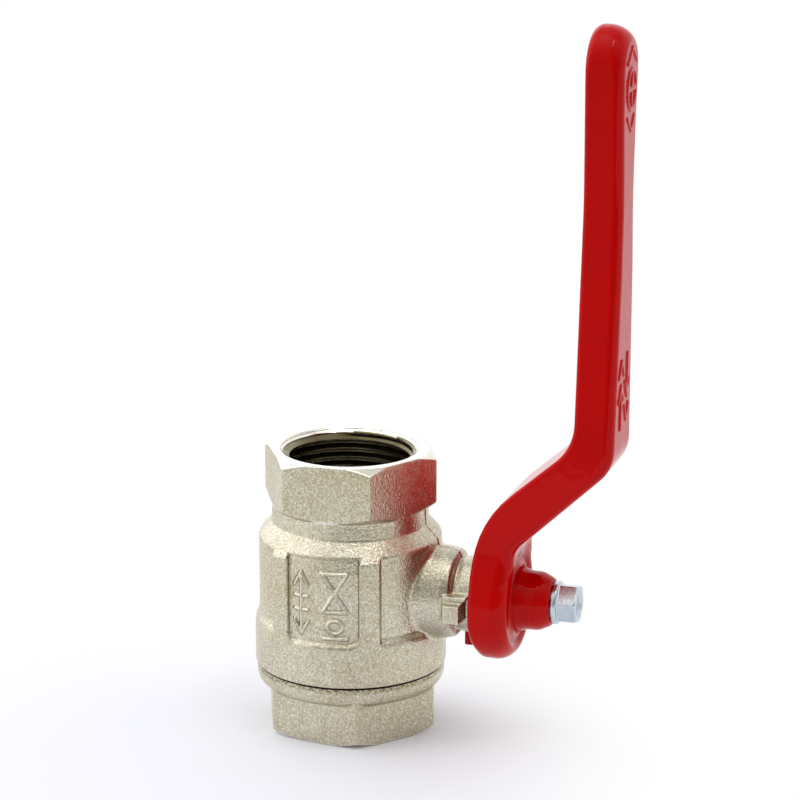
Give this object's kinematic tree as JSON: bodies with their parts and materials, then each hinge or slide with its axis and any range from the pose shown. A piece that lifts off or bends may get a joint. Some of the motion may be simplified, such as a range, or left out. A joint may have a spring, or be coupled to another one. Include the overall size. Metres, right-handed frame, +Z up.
{
  "type": "ball valve",
  "caption": "Lever ball valve with female pipe ports in line, hexagon ends, a stop-lugged neck for the stem, and a cranked red lever that turns a full-bore ball open or shut.",
  "frame": {"origin": "centre of the lower port's end face, on the pipe axis", "axes": "+Z up the pipe axis to the upper port; +X out along the stem to the lever; the lever stands along +Z with the valve open"},
  "size_m": [0.0749, 0.0382, 0.1434],
  "materials": {
    "nickel_plate": "nickel-plated brass, blasted forging with turned faces",
    "chrome_ball": "polished hard chrome on brass",
    "ptfe": "PTFE",
    "stem_brass": "turned brass",
    "seal_rubber": "black seal rubber",
    "red_enamel": "cast aluminium under thick gloss red enamel",
    "zinc_plate": "bright zinc-plated steel"
  },
  "bodies": {
    "valve_body": {"body": "nickel_plate", "end_connector": "nickel_plate", "seat_ring_upper": "ptfe", "seat_ring_lower": "ptfe", "stem_thrust_washer": "ptfe"},
    "handle": {"lever": "red_enamel", "lever_screw": "zinc_plate", "stem": "stem_brass", "stem_o_ring_inner": "seal_rubber", "stem_o_ring_outer": "seal_rubber"},
    "ball_body": {"ball": "chrome_ball"}
  },
  "joints": [
    {"name": "lever_turn", "type": "hinge", "parent": "valve_body", "child": "handle", "pos_m": [0, 0, 0.02882], "axis": [-1, 0, 0], "range_deg": [0, 90]},
    {"name": "ball_turn", "type": "hinge", "parent": "valve_body", "child": "ball_body", "pos_m": [0, 0, 0.02882], "axis": [-1, 0, 0], "range_deg": [0, 90]}
  ],
  "couplings": [
    {"joint": "ball_turn", "follows": "lever_turn", "ratio": 1}
  ]
}
